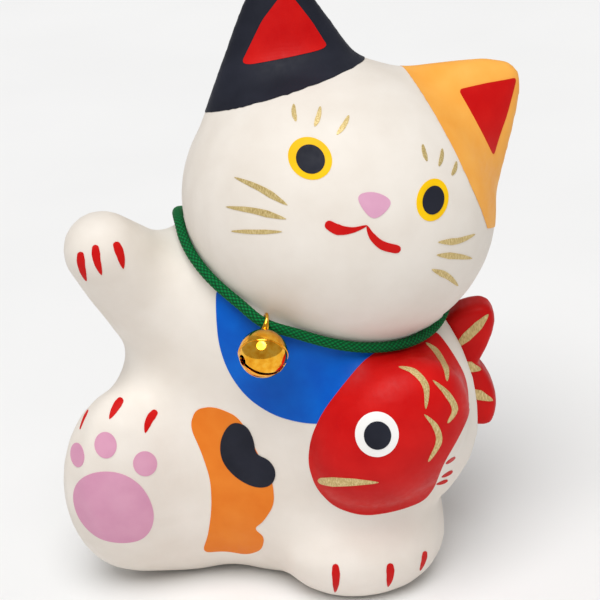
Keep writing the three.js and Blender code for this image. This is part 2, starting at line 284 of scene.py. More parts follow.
# %% Brushed paints
def brushed_paint(name, thin, full, roughness):
    """Matt paint: `thin` where the brush ran dry, `full` where the paint lies thick."""
    finish, tree, shader = new_finish(name, roughness)
    shader.inputs["Specular IOR Level"].default_value = 0.13
    streaks = noise(tree, 900, stretch=(1, 0.2, 1), detail=4)
    clouds = noise(tree, 130)
    tones(tree, clouds, shader.inputs["Base Color"], (0.32, tint(*thin)), (0.66, tint(*full)))
    vary(tree, streaks, shader.inputs["Roughness"], roughness - 0.07, roughness + 0.09)
    relief(tree, shader, 0.3, 0.05, streaks)
    return finish


ink_black = brushed_paint("ink_black", (38, 40, 51), (29, 31, 41), 0.52)
ear_orange = brushed_paint("ear_orange", (250, 181, 84), (246, 170, 70), 0.5)
belly_orange = brushed_paint("belly_orange", (236, 134, 44), (229, 121, 32), 0.48)
seal_red = brushed_paint("seal_red", (207, 20, 16), (194, 6, 8), 0.46)
bream_red = brushed_paint("bream_red", (208, 20, 17), (194, 8, 9), 0.44)
bib_blue = brushed_paint("bib_blue", (0, 100, 204), (0, 84, 188), 0.44)
eye_yellow = brushed_paint("eye_yellow", (252, 204, 8), (245, 190, 0), 0.46)
pad_pink = brushed_paint("pad_pink", (219, 160, 186), (211, 148, 177), 0.5)
nose_pink = brushed_paint("nose_pink", (224, 170, 196), (216, 158, 188), 0.5)
eye_white = brushed_paint("eye_white", (246, 245, 243), (240, 238, 235), 0.48)
print("ten brushed paints are mixed")

# %% [markdown]
# The gold lines are bronze powder in a binder, not metal leaf. Each stroke shows bright and
# dull grains side by side, so a very fine noise picks between three golds.

# %% Bronze-powder gold
powder_gold, tree, shader = new_finish("powder_gold", 0.45, metallic=0.35)
tones(tree, noise(tree, 4200, stretch=(1, 1, 0.3), detail=3), shader.inputs["Base Color"],
      (0.32, tint(180, 152, 92)), (0.5, tint(204, 180, 118)), (0.70, tint(226, 206, 152)))
relief(tree, shader, 0.3, 0.04, noise(tree, 4200, detail=2))
print("gold is mixed")

# %% [markdown]
# ## The clay skin
# In the kiln the castings become one piece of clay. The CAD model keeps them apart, with hair
# gaps between them. Here each casting is copied and swollen by a hair, so that the copies
# meet. A voxel remesh melts them together, and the swelling is taken off again.

# %% Copy the castings and melt them together
CASTINGS = ("body_casting", "head_casting", "raised_arm", "left_arm", "cat_tail", "sea_bream")
CLAY_SWELL = 0.22
CLAY_VOXEL = 1.0


def clay_copy(casting, swell):
    """A merged copy of a casting, swollen by a hair."""
    node = frame["nodes"][casting]
    piece = bpy.data.objects.new(casting + "_clay", node.data.copy())
    bpy.context.collection.objects.link(piece)
    piece.data.materials.clear()
    pick(piece)
    bpy.ops.object.mode_set(mode="EDIT")
    bpy.ops.mesh.select_all(action="SELECT")
    bpy.ops.mesh.remove_doubles(threshold=0.002 * MM)
    bpy.ops.mesh.customdata_custom_splitnormals_clear()
    bpy.ops.object.mode_set(mode="OBJECT")
    return apply_modifier(piece, "DISPLACE", strength=swell * MM, mid_level=0)


def largest_part(piece):
    """Keeps the largest loose part of a mesh, under its name. What is sealed inside goes."""
    name = pick(piece).name
    bpy.ops.mesh.separate(type="LOOSE")
    parts = sorted(bpy.context.selected_objects, key=lambda part: len(part.data.vertices))
    for part in parts[:-1]:
        bpy.data.objects.remove(part)
    parts[-1].name = name
    return pick(parts[-1])


cat_skin = joined("cat_skin", [clay_copy(casting, CLAY_SWELL) for casting in CASTINGS])
apply_modifier(cat_skin, "REMESH", mode="VOXEL", voxel_size=CLAY_VOXEL * MM)
cat_skin = largest_part(cat_skin)
apply_modifier(cat_skin, "DISPLACE", strength=-CLAY_SWELL * MM, mid_level=0)
report(cat_skin)

# %% [markdown]
# The clay has to leave room for the cord, so the cord's way comes first. It is an oval round
# the neck, square to the neck's lean. It droops behind, and it stands off where the bell hangs.

# %% The neck cord's way
HEAD_CENTRE = Vector((12.06, -5.96, 81.8))
HEAD_TURN = Euler((math.radians(-11.5), math.radians(22.5), math.radians(7)), "YXZ").to_matrix()
NECK_LEAN_LEFT, NECK_LEAN_FRONT = 0.43, 0.26
NECK_BELOW_HEAD = 13.9
CORD_RADIUS = 1.1
CORD_REACH_ASIDE, CORD_REACH_FRONT, CORD_REACH_BACK = 29.4, 27.9, 25.2
CORD_DROOP = 9
DROOP_BEGINS, DROOP_ENDS = (0.3, 1.3), (2.5, 3.4)
BELL_ANGLE = -1.865
BELL_BULGE, BELL_BULGE_WIDTH = 1.4, 0.16
CORD_STEPS = 180

neck_up = Vector((math.sin(NECK_LEAN_LEFT) * math.cos(NECK_LEAN_FRONT), -math.sin(NECK_LEAN_FRONT),
                  math.cos(NECK_LEAN_LEFT) * math.cos(NECK_LEAN_FRONT)))
neck_left = Vector((math.cos(NECK_LEAN_LEFT), 0, -math.sin(NECK_LEAN_LEFT)))
neck_back = neck_up.cross(neck_left)
neck_centre = HEAD_CENTRE - NECK_BELOW_HEAD * neck_up


def gently(value, start, stop):
    """Rises from 0 to 1 between start and stop, with a soft beginning and end."""
    share = min(max((value - start) / (stop - start), 0), 1)
    return share * share * (3 - 2 * share)


def bulge(angle, middle, height, width):
    """How far the cord stands off near one angle, falling away softly on both sides."""
    off = (angle - middle + math.pi) % math.tau - math.pi
    return height * math.exp(-(off / width) ** 2)


def cord_point(angle):
    """The cord's middle in mm, at this angle from the cat's left."""
    angle = float(angle) % math.tau
    off = bulge(angle, BELL_ANGLE, BELL_BULGE, BELL_BULGE_WIDTH)
    depth = CORD_REACH_BACK if math.sin(angle) > 0 else CORD_REACH_FRONT
    droop = CORD_DROOP * gently(angle, *DROOP_BEGINS) * (1 - gently(angle, *DROOP_ENDS))
    return (neck_centre + (CORD_REACH_ASIDE + off) * math.cos(angle) * neck_left
            + (depth + off) * math.sin(angle) * neck_back - droop * neck_up)


cord_middle = np.array([cord_point(math.tau * step / CORD_STEPS)
                        for step in range(CORD_STEPS)]) * MM
print("the cord's way starts at", cord_middle[0].round(4), "m")

# %% [markdown]
# A potter wipes the joints with a wet finger, which fills the sharp inner corners and leaves
# the round outer forms alone. A smoothing brush would shrink the paws as well. So this tool
# lets corners slide along the clay, but raises them only where their neighbours stand higher.
# It raises nothing beside the cord, or on the tail, which would sink into the back.

# %% A wet finger along the joints
WIPES, ROUNDS_A_WIPE = 3, 50
CLEAR_OF_CORD = 2.4
RISE_SHARE, SLIDE_SHARE = 0.6, 0.3


def from_cord(corners):
    """How far each corner lies from the cord's middle."""
    nearest = np.full(len(corners), 1.0)
    for point in cord_middle:
        nearest = np.minimum(nearest, np.linalg.norm(corners - point, axis=1))
    return nearest


def fill_creases(piece):
    """Raises hollow corners towards their neighbours, round after round."""
    mesh = piece.data
    edges = np.empty(len(mesh.edges) * 2, int)
    mesh.edges.foreach_get("vertices", edges)
    first, second = edges.reshape(-1, 2).T
    count = np.bincount(edges, minlength=len(mesh.vertices))
    corners = corners_of(piece)
    low, high = (np.array(corner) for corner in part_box("cat_tail"))
    on_tail = ((corners > low) & (corners < high)).all(axis=1)
    free = (from_cord(corners) > CLEAR_OF_CORD * MM) & ~on_tail
    for _ in range(ROUNDS_A_WIPE):
        around = np.stack([np.bincount(first, corners[second, axis], len(corners))
                           + np.bincount(second, corners[first, axis], len(corners))
                           for axis in range(3)], axis=1) / count[:, None]
        normals = np.empty(len(corners) * 3, np.float32)
        mesh.vertex_normals.foreach_get("vector", normals)
        normals = normals.reshape(-1, 3)
        step = around - corners
        rise = (step * normals).sum(1)
        outward = np.where((rise > 0) & free, RISE_SHARE * rise, 0)
        slide = SLIDE_SHARE * (step - rise[:, None] * normals)
        corners = corners + outward[:, None] * normals + slide
        move_corners(piece, corners)


for _ in range(WIPES):
    fill_creases(cat_skin)
    apply_modifier(cat_skin, "REMESH", mode="VOXEL", voxel_size=CLAY_VOXEL * MM)
    cat_skin = largest_part(cat_skin)
apply_modifier(cat_skin, "SMOOTH", factor=0.5, iterations=5)
report(cat_skin)

# %% [markdown]
# The kiln shelf leaves the foot flat. Corners near the floor are set down on it, and the skin
# is shaded smooth everywhere but along that foot.

# %% Flatten the foot and dress the skin
FOOT_BAND = 0.35
skin_corners = corners_of(cat_skin)
skin_corners[:, 2] = np.where(skin_corners[:, 2] < FOOT_BAND * MM, 0, skin_corners[:, 2])
move_corners(cat_skin, skin_corners)
smooth_up_to(cat_skin, 50)
cat_skin.data.materials.append(bisque_white)
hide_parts(*CASTINGS)
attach(cat_skin, "figurine")
report(cat_skin)

# %% [markdown]
# ## How paint is put on
# Paint is a thin film with an edge of its own. Painting faces of the skin would give stepped
# edges, so each mark is a sheet: a grid bent to the mark's outline, landed on the clay along
# the brush's direction, and given a thickness that sinks into the clay.
# A brush frame says where that flat outline lies: for the face it is turned with the head.
# A film's thickness goes into the clay, and each layer lies a hair above the one below.

# %% Brush frames
FILM_THICKNESS = 0.35
LAYER_LIFT = 0.10
BRUSH_AWAY = 90


def brush_frame(origin, right, up):
    """The place of a flat outline, given in mm, with its own right and up."""
    toward = right.cross(up)
    return Matrix.Translation(origin * MM) @ Matrix((right, up, toward)).transposed().to_4x4()


face = brush_frame(HEAD_CENTRE, HEAD_TURN.col[0], HEAD_TURN.col[2])
front = brush_frame(Vector((0, 0, 40)), Vector((1, 0, 0)), level_up)
print("brush frames for the face and for the front are set")

# %% Outlines: rounded corners and ovals
def rounded_outline(corners, soft=0.5, steps=9):
    """A closed outline through rounded corners. At a softness of 0.5 it has no straight part."""
    points = [Vector(corner) for corner in corners]
    turn = sum(a.x * b.y - b.x * a.y for a, b in zip(points, points[1:] + points[:1]))
    if turn < 0:
        points.reverse()
    outline = []
    for before, corner, after in zip(points[-1:] + points[:-1], points, points[1:] + points[:1]):
        start, stop = corner.lerp(before, soft), corner.lerp(after, soft)
        for step in range(steps):
            t = step / (steps - 1)
            outline.append(start.lerp(corner, t).lerp(corner.lerp(stop, t), t))
    return outline


def oval(centre, radii, steps=72):
    return [Vector((centre[0] + radii[0] * math.cos(math.tau * step / steps),
                    centre[1] + radii[1] * math.sin(math.tau * step / steps)))
            for step in range(steps)]


def along(outline, share):
    """The point this share of the way round a closed outline."""
    lengths = [0]
    for a, b in zip(outline, outline[1:] + outline[:1]):
        lengths.append(lengths[-1] + (b - a).length)
    reach = share % 1 * lengths[-1]
    index = int(np.searchsorted(lengths, reach, side="right")) - 1
    index = min(index, len(outline) - 1)
    span = lengths[index + 1] - lengths[index]
    return outline[index].lerp(outline[(index + 1) % len(outline)],
                               (reach - lengths[index]) / span if span else 0)


# %% Grids bent to a mark
def flat_grid(name, across, up):
    bpy.ops.object.select_all(action="DESELECT")
    bpy.ops.mesh.primitive_grid_add(x_subdivisions=across, y_subdivisions=up, size=2)
    bpy.context.object.name = name
    return bpy.context.object


def blot(name, outline, middle, fine=0.4):
    """A filled shape: each ring of the grid is bent to the outline, drawn in towards a middle."""
    middle = Vector(middle)
    reach = max((point - middle).length for point in outline)
    cells = 2 * max(6, min(60, round(reach / fine)))
    piece = flat_grid(name, cells, cells)
    for corner in piece.data.vertices:
        x, y = corner.co.x, corner.co.y
        ring = max(abs(x), abs(y))
        if ring < 1e-6:
            corner.co = middle.to_3d()
            continue
        if abs(x) >= abs(y):
            share = (y / x) / 8 + (0 if x > 0 else 0.5)
        else:
            share = 0.25 - (x / y) / 8 + (0 if y > 0 else 0.5)
        corner.co = middle.lerp(along(outline, share), ring).to_3d()
    return piece


def oval_blot(name, centre, radii):
    return blot(name, oval(centre, radii), centre)


def stroke(name, points, widths, blunt=0.14):
    """A brush stroke through a few points, its widths spread evenly along it, its ends round."""
    points = [Vector(point) for point in points]
    lengths = [0]
    for a, b in zip(points, points[1:]):
        lengths.append(lengths[-1] + (b - a).length)

    def middle_at(t):
        reach = t * (len(points) - 1)
        index = min(int(reach), len(points) - 2)
        local = reach - index
        p = [points[max(index - 1, 0)], points[index], points[index + 1],
             points[min(index + 2, len(points) - 1)]]
        return 0.5 * (2 * p[1] + local * (p[2] - p[0])
                      + local ** 2 * (2 * p[0] - 5 * p[1] + 4 * p[2] - p[3])
                      + local ** 3 * (3 * p[1] - p[0] - 3 * p[2] + p[3]))

    cells = max(14, round(lengths[-1] / 0.25))
    piece = flat_grid(name, cells, 6)
    spots = np.linspace(0, 1, len(widths))
    for corner in piece.data.vertices:
        t = (corner.co.x + 1) / 2
        heading = (middle_at(min(t + 0.01, 1)) - middle_at(max(t - 0.01, 0))).normalized()
        end = max(0.0, 1 - min(t, 1 - t) / blunt)
        half = float(np.interp(t, spots, widths)) / 2 * math.sqrt(max(1 - end ** 2, 0.0004))
        aside = Vector((-heading.y, heading.x)) * corner.co.y * half
        corner.co = (middle_at(t) + aside).to_3d()
    return piece


def strokes(name, widths, *lines):
    """Several strokes with the same widths."""
    return [stroke(name, line, widths) for line in lines]


# %% Landing a mark on the clay
def surface_of(piece):
    return BVHTree.FromPolygons([corner.co for corner in piece.data.vertices],
                                [face.vertices for face in piece.data.polygons])


def paint_on(piece, where, surface, finish, layer=1):
    """Lands a flat mark on a surface along its brush's direction, and gives it thickness."""
    ahead = (where.to_3x3() @ Vector((0, 0, -1))).normalized()
    landed, missed = {}, []
    for corner in piece.data.vertices:
        start = where @ Vector((corner.co.x * MM, corner.co.y * MM, BRUSH_AWAY * MM))
        spot, normal, _, distance = surface.ray_cast(start, ahead)
        if spot is None:
            missed.append((corner.index, start))
        else:
            landed[corner.index] = (spot + normal * layer * LAYER_LIFT * MM, distance)
    depth = sum(distance for _, distance in landed.values()) / max(len(landed), 1)
    for index, start in missed:
        spot, normal, _, _ = surface.find_nearest(start + ahead * depth)
        landed[index] = (spot + normal * layer * LAYER_LIFT * MM, depth)
    for index, (spot, _) in landed.items():
        piece.data.vertices[index].co = spot
    piece.data.update()
    apply_modifier(piece, "SOLIDIFY", thickness=FILM_THICKNESS * MM, offset=-1)
    piece.data.materials.append(finish)
    return smooth_up_to(piece, 40)


def keep_paint(name, marks):
    """Marks of one paint become one piece, which rides on the figurine."""
    piece = joined(name, marks)
    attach(piece, "figurine")
    report(piece)


clay = surface_of(cat_skin)
print("the clay is ready to be painted")

# %% [markdown]
# ## Black ear and orange ear
# The ear paint runs round the ear and down the back of the head, so no single direction can
# land it. Instead a copy of the skin is bisected by a plane, as if the head had been dipped.
# The plane holds the head's front-to-back direction and slopes from the crown to the cheek.
# The orange ear takes a second, level plane, which ends its paint on the cheek. The film is
# cut a little too large, thickened, and only then cut to size, so its edge is clean.

# %% Dip the ears
FILM_MARGIN = 3


def cut_off_below(film, planes, lower=0.0, fill=False):
    """Cuts away what lies below each plane: a height in mm over the head's middle, and a slope."""
    pick(film)
    bpy.ops.object.mode_set(mode="EDIT")
    for height, slope in planes:
        bpy.ops.mesh.select_all(action="SELECT")
        upward = HEAD_TURN @ Vector((-slope, 0, 1)).normalized()
        through = (HEAD_CENTRE + HEAD_TURN @ Vector((0, 0, height - lower))) * MM
        bpy.ops.mesh.bisect(plane_co=through, plane_no=upward, clear_inner=True, use_fill=fill)
    bpy.ops.object.mode_set(mode="OBJECT")


def dipped_ear(name, planes, finish):
    """The skin above sloping planes in the head's own frame, lifted by one layer of paint."""
    film = bpy.data.objects.new(name, cat_skin.data.copy())
    bpy.context.collection.objects.link(film)
    film.data.materials.clear()
    film.data.materials.append(finish)
    cut_off_below(film, planes, lower=FILM_MARGIN)
    film = largest_part(film)
    apply_modifier(film, "SHRINKWRAP", target=cat_skin, wrap_method="NEAREST_SURFACEPOINT",
                   wrap_mode="ABOVE_SURFACE", offset=LAYER_LIFT * MM)
    apply_modifier(film, "SOLIDIFY", thickness=FILM_THICKNESS * MM, offset=-1)
    cut_off_below(film, planes, fill=True)
    smooth_up_to(film, 50)
    keep_paint(name, [film])


dipped_ear("black_ear", [(32.0, 0.693)], ink_black)
dipped_ear("orange_ear", [(34.55, -1.10), (4.4, 0.0)], ear_orange)

# %% Red ear linings
right_lining = blot("right_ear_lining", rounded_outline(
    [(-27.8, 21.2), (-12.1, 29.4), (-16.6, 33.4), (-23.4, 38.2), (-26.2, 31)], 0.17), (-21, 28.5))
left_lining = blot("left_ear_lining", rounded_outline(
    [(15.4, 28.6), (21, 31.5), (26.8, 34.1), (26.9, 26), (26.3, 17.8), (21, 23)], 0.14),
    (23.5, 28))
keep_paint("ear_linings", [paint_on(lining, face, clay, seal_red, layer=2)
                           for lining in (right_lining, left_lining)])

# %% [markdown]
# ## The face
# Round eyes with a yellow ring, a small pink nose, a red mouth in two strokes that start thin
# under the nose, and gold brows and whiskers. All are laid in the head's own frame, in
# millimetres from the head's middle.

# %% Eyes
keep_paint("eye_rings", [
    paint_on(oval_blot("ring", centre, radii), face, clay, eye_yellow)
    for centre, radii in (((-12.7, 9.3), (4.05, 3.8)), ((12.3, 8.0), (3.4, 4.0)))])
keep_paint("pupils", [
    paint_on(oval_blot("pupil", centre, radii), face, clay, ink_black, layer=2)
    for centre, radii in (((-12.6, 9.2), (2.65, 2.6)), ((12.4, 8.0), (2.3, 2.7)))])

# %% Nose and mouth
nose = blot("nose", rounded_outline(
    [(-3.0, 5.4), (0.2, 7.0), (4.2, 6.3), (3.7, 3.9), (1.6, 1.6), (-1.0, 3.0)]), (0.9, 4.6))
keep_paint("nose", [paint_on(nose, face, clay, nose_pink)])

mouth_right = stroke("mouth", [(0.7, 0.4), (-1.7, -1.2), (-4.4, -1.9), (-7.0, -1.3)],
                     [0.25, 1.1, 2.1, 1.6])
mouth_left = stroke("mouth", [(0.6, 0.4), (2.3, -1.4), (4.9, -2.6), (8.6, -2.6)],
                    [0.25, 1.3, 1.7, 1.7])
keep_paint("mouth", [paint_on(half, face, clay, seal_red) for half in (mouth_right, mouth_left)])

# %% Gold brows and whiskers
BROW = [0.3, 0.8, 0.9, 0.25]
WHISKER, THIN_WHISKER = [0.2, 1.0, 1.35, 0.2], [0.2, 0.8, 0.9, 0.2]
face_gold = [
    *strokes("brow", BROW,
             [(-17.3, 17.8), (-17.1, 16.3), (-16.5, 14.9)],
             [(-12.6, 18.9), (-12.7, 17), (-13.1, 15.1)],
             [(-7.2, 18.9), (-7.8, 17), (-8.9, 14.9)],
             [(8.0, 17.5), (8.6, 16.1), (9.5, 14.7)],
             [(12.4, 17.6), (12.5, 16), (12.2, 14.3)],
             [(16.0, 15.9), (15.9, 14.5), (15.4, 13.2)]),
    *strokes("whisker", WHISKER,
             [(-24.7, 1.3), (-19.8, 1.0), (-14.5, -0.3)],
             [(-24.6, -4.7), (-19.6, -3.4), (-14.0, -2.9)]),
    *strokes("whisker", THIN_WHISKER,
             [(-22.4, -8.9), (-18.5, -7.3), (-14.0, -5.5)]),
    *strokes("whisker", WHISKER,
             [(24.1, 3.1), (20.4, 1.4), (15.8, 0.4)],
             [(25.3, -1.8), (21, -1.7), (16.4, -2.1)],
             [(24.4, -7.9), (20.6, -6.0), (16.4, -5.1)]),
]
keep_paint("face_gold", [paint_on(line, face, clay, powder_gold) for line in face_gold])

# %% [markdown]
# ## Bib, coat patches and paws
# A blue bib hangs from under the cord and the bream overlaps it. One orange patch with a
# black one on its shoulder makes the cat a tortoiseshell. Claws are short red strokes, thick
# at the top and pointed below, and the raised sole shows four pink pads.

# %% Bib and coat patches
bib = blot("bib", rounded_outline(
    [(-13.7, 20.6), (-9.6, 16.4), (-4.7, 12.8), (0.6, 9.8), (6.2, 7.5), (12, 5.9), (17.5, 5.2),
     (17, 0), (12, -6), (6, -8.6), (1, -8.2), (-4.5, -6.3), (-9.5, -2.4), (-12.8, 3),
     (-14.3, 9), (-14.2, 16)], 0.45), (-2, 2))
keep_paint("bib", [paint_on(bib, front, clay, bib_blue)])

coat_orange = blot("coat_orange", rounded_outline(
    [(-21.9, -7.4), (-20.4, -4.0), (-16.6, -3.6), (-11.4, -6.2), (-8.5, -14), (-5.9, -20),
     (-6.0, -25), (-8.6, -28.6), (-10.8, -30.1), (-8.7, -32.2), (-9.6, -35.2), (-13, -36.4),
     (-17.4, -35.2), (-22.4, -35.2), (-20.5, -31), (-19.1, -25), (-18.7, -19), (-20, -13)],
    0.4), (-14.6, -26.6))
keep_paint("coat_orange", [paint_on(coat_orange, front, clay, belly_orange)])

coat_black = blot("coat_black", rounded_outline(
    [(-13.3, -6.9), (-10.2, -7.9), (-9.0, -11), (-8.9, -14.2), (-6.2, -15.4), (-4.9, -18.2),
     (-6.2, -21), (-9.6, -21.2), (-13.6, -18.7), (-16.2, -14.8), (-15.9, -10.4)]), (-11, -15))
keep_paint("coat_black", [paint_on(coat_black, front, clay, ink_black, layer=2)])

# %% Claws
CLAW = [1.1, 1.7, 1.3, 0.2]
raised_paw = strokes("claw", CLAW,
                     [(-39.7, 29.4), (-39.8, 26.6), (-39.3, 23.6)],
                     [(-36.6, 30.5), (-36.6, 27.6), (-36.0, 24.5)],
                     [(-32.7, 30.8), (-32.0, 28.2), (-31.7, 25.4)])
raised_foot = [
    *strokes("claw", [0.3, 0.5, 0.4, 0.2], [(-42.7, -2.6), (-43.7, -4.4), (-44.6, -6.4)]),
    *strokes("claw", CLAW,
             [(-35.2, -0.6), (-36.6, -2.4), (-38.0, -4.6)],
             [(-28.4, -3.6), (-30.0, -5.5), (-31.0, -8.0)])]
other_foot = [
    *strokes("claw", CLAW,
             [(5.5, -38.2), (5.4, -41.5), (5.0, -44.8)],
             [(16.7, -39.0), (16.6, -41.6), (16.0, -44.4)]),
    *strokes("claw", [0.8, 1.2, 0.9, 0.2], [(24.3, -37.6), (23.9, -39.6), (23.0, -41.8)])]
hugging_paw = [
    *strokes("claw", [0.4, 0.9, 0.8, 0.2],
             [(31.5, -17.9), (30.4, -18.3), (29.2, -18.8)],
             [(31.0, -21.0), (29.8, -21.5), (28.5, -21.9)]),
    *strokes("claw", [0.4, 0.8, 0.7, 0.2], [(29.9, -22.9), (28.7, -23.2), (27.4, -23.4)])]
claws = raised_paw + raised_foot + other_foot + hugging_paw
keep_paint("claws", [paint_on(claw, front, clay, seal_red) for claw in claws])

# %% Pads
pads = [
    oval_blot("pad", (-45.5, -11.6), (1.6, 2.5)),
    oval_blot("pad", (-39.2, -9.8), (2.3, 2.7)),
    oval_blot("pad", (-31.6, -14.3), (2.4, 2.6)),
    blot("pad", rounded_outline(
        [(-47.6, -18.6), (-43.5, -15.2), (-36.8, -15.3), (-32.2, -19.2), (-30.6, -25.6),
         (-33.2, -30.6), (-38.6, -31.4), (-44.2, -29.6), (-47.6, -24.6)]), (-39, -23.4)),
]
keep_paint("pads", [paint_on(pad, front, clay, pad_pink) for pad in pads])

# %% [markdown]
# ## The sea bream
# Its body lies in low relief on the belly, so its red is a film like the other paints. Its
# tail fin stands free behind the arm. That one is a casting of its own, remeshed finer than
# the body because its edge is thin, and painted all round.

# %% Bream body and its marks
bream = blot("bream", rounded_outline(
    [(17.5, 5.3), (13.8, 3.1), (9.6, -1.2), (5.4, -6.0), (2.6, -11.2), (1.6, -16.5), (2.8, -21.8),
     (6.2, -26.2), (11.8, -28.6), (18.6, -28.3), (24.6, -26.9), (27.0, -24), (28.3, -19),
     (32.2, -13.2), (35.2, -8.2), (35.3, -2.2), (32.6, 3.6), (29.6, 8.4), (26, 6.4),
     (21.6, 5.2)], 0.42), (17, -12), fine=0.35)
keep_paint("bream_paint", [paint_on(bream, front, clay, bream_red, layer=1.6)])
keep_paint("bream_eye_white", [paint_on(oval_blot("eye", (15.6, -11.1), (4.25, 4.5)),
                                        front, clay, eye_white, layer=2.4)])
keep_paint("bream_pupil", [paint_on(oval_blot("eye", (15.7, -11.3), (2.65, 2.8)),
                                    front, clay, ink_black, layer=3.2)])

bream_gold = [
    *strokes("mouth_line", [1.2, 2.0, 1.5, 0.2],
             [(3.4, -20.1), (6.4, -20.3), (10.5, -20.5), (15.3, -20.9)]),
    *strokes("scale", [0.25, 1.2, 1.3, 0.4],
             [(21.0, 1.6), (23.9, 0.4), (25.9, -2.6), (25.5, -6.9)],
             [(27.3, 5.7), (29.2, 3.8), (30.4, 0.8), (30.3, -2.0)],
             [(27.4, -1.5), (30.0, -4.4), (31.4, -7.6), (29.7, -10.2)],
             [(25.1, -7.9), (27.2, -10.6), (27.7, -13.8), (25.4, -17.6)]),
]
keep_paint("bream_gold", [paint_on(line, front, clay, powder_gold, layer=2.4)
                          for line in bream_gold])

# %% Bream tail fin
FIN_SWELL = 0.3
FIN_VOXEL = 0.45
tail_fin = clay_copy("bream_tail_fin", FIN_SWELL)
apply_modifier(tail_fin, "REMESH", mode="VOXEL", voxel_size=FIN_VOXEL * MM)
apply_modifier(tail_fin, "SMOOTH", factor=0.5, iterations=10)
tail_fin = smooth_up_to(largest_part(tail_fin), 60)
tail_fin.data.materials.append(bream_red)
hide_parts("bream_tail_fin")
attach(tail_fin, "figurine")
report(tail_fin)

fin_surface = surface_of(tail_fin)
fin_gold = [
    stroke("fin_line", [(34.2, 4.0), (36.6, 6.0), (39.2, 8.2), (41.4, 10.4)],
           [0.6, 2.0, 1.9, 0.3]),
    stroke("fin_line", [(35.2, 0.6), (37.0, -0.4), (39.4, -1.2)], [0.8, 2.4, 0.3]),
    stroke("fin_line", [(36.6, -5.4), (38.8, -6.6), (41.6, -8.0)], [0.8, 2.2, 0.3]),
]
keep_paint("fin_gold", [paint_on(line, front, fin_surface, powder_gold) for line in fin_gold])

# %% [markdown]
# ## The braided cord
# The cord is a tight tube of eight strands each way, over one and under one. A bump map would
# look flat along its edges, so the braid is real relief: a fine grid is rolled into a tube
# along the cord's loop, and each corner's distance from the middle follows the weave.

# %% Green cord finish
cord_green, tree, shader = new_finish("cord_green", 0.72)
shader.inputs["Specular IOR Level"].default_value = 0.12
shader.inputs["Sheen Weight"].default_value = 0.03
weave_shade_height = tree.nodes.new("ShaderNodeAttribute")
weave_shade_height.attribute_name = "weave_shade_height"
# The weave's height sets the colour. The valleys between the strands are painted darker and the
# ridges lighter, which is painted shade and a painted highlight on top of the real relief.
tones(tree, weave_shade_height.outputs["Fac"], shader.inputs["Base Color"],
      (0.12, tint(0, 44, 20)), (0.55, tint(0, 88, 42)), (0.95, tint(0, 136, 68)))
relief(tree, shader, 0.5, 0.03, noise(tree, 5200, detail=2))
print("cord finish is mixed")

# %% Laying a braid along a closed way
STRANDS = 8
STITCH = 1.15
WEAVE_DEPTH = 0.13
WAY_STEPS = 2000


def weave(length, turn):
    """The braid's height, 0 to 1, at a length along it in mm and an angle round it."""
    one = STRANDS * turn + math.tau * length / STITCH
    other = STRANDS * turn - math.tau * length / STITCH
    rise_one, rise_other = np.cos(one / 2) ** 2, np.cos(other / 2) ** 2
    over = (np.floor(one / math.tau + 0.5) + np.floor(other / math.tau + 0.5)) % 2 == 0
    top, under = np.where(over, rise_one, rise_other), np.where(over, rise_other, rise_one)
    return np.sqrt(top) * (0.62 + 0.38 * under)


def braid(name, way, side, radius, rings, around=44):
    """A braid along `way`, a closed path of a share from 0 to 1. `side` gives each ring's side."""
    piece = flat_grid(name, rings, around)
    x, y, _ = corners_of(piece).T
    share, turn = (x + 1) / 2, math.pi * (y + 1)
    middle = np.array([way(one) for one in share])
    ahead = np.array([way(one + 0.001) - way(one - 0.001) for one in share])
    ahead /= np.linalg.norm(ahead, axis=1)[:, None]
    out = np.array([side(one) for one in share])
    out -= (out * ahead).sum(1)[:, None] * ahead
    out /= np.linalg.norm(out, axis=1)[:, None]
    across = np.cross(out, ahead)
    table = np.array([way(step / WAY_STEPS) for step in range(WAY_STEPS + 1)])
    run = np.concatenate([[0], np.cumsum(np.linalg.norm(np.diff(table, axis=0), axis=1))])
    stitches = round(run[-1] / STITCH / 2) * 2
    length = np.interp(share, np.linspace(0, 1, WAY_STEPS + 1), run) / run[-1]
    length *= stitches * STITCH
    height = weave(length, turn)
    reach = (radius - WEAVE_DEPTH * (1 - height))[:, None]
    move_corners(piece, (middle + reach * (np.cos(turn)[:, None] * out
                                           + np.sin(turn)[:, None] * across)) * MM)
    # The weave's height is also kept on the mesh for the cord's finish, which paints shade into
    # the valleys and a highlight onto the ridges from it.
    heights = piece.data.attributes.new("weave_shade_height", "FLOAT", "POINT")
    heights.data.foreach_set("value", height.astype(np.float32))
    piece.data.materials.append(cord_green)
    pick(piece)
    bpy.ops.object.mode_set(mode="EDIT")
    bpy.ops.mesh.select_all(action="SELECT")
    bpy.ops.mesh.remove_doubles(threshold=0.002 * MM)
    bpy.ops.mesh.normals_make_consistent(inside=False)
    bpy.ops.object.mode_set(mode="OBJECT")
    bpy.ops.object.shade_smooth()
    print(f"{name}: {run[-1]:.0f} mm of cord, {stitches} stitches")
    return piece


# %% Neck cord
KNOT_ANGLE = math.pi / 2
KNOT_BULGE, KNOT_BULGE_WIDTH = 1.6, 0.11


def neck_way(share):
    """The loop round the neck. At the back it swings out into the knot."""
    angle = math.tau * share
    off = bulge(angle, KNOT_ANGLE, KNOT_BULGE, KNOT_BULGE_WIDTH)
    return np.array(cord_point(angle) + off * neck_back)


neck_cord = braid("neck_cord_braid", neck_way, lambda share: np.array(neck_up), CORD_RADIUS,
                  rings=880)
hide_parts("neck_cord")
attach(neck_cord, "figurine")
report(neck_cord)

# %% [markdown]
# The cord is closed by a small knot at the back of the neck. Its path is a trefoil, the
# plainest knot that holds, and it runs on the skin of an unseen ring, which gives each point
# its side.

# %% Knot at the back
KNOT_RING = 1.9
KNOT_STANDS_OFF = 3.6
KNOT_CORD_RADIUS = 0.95
knot_centre = cord_point(KNOT_ANGLE) + KNOT_STANDS_OFF * neck_back
knot_axes = Matrix((neck_left, -neck_up, neck_back)).transposed()


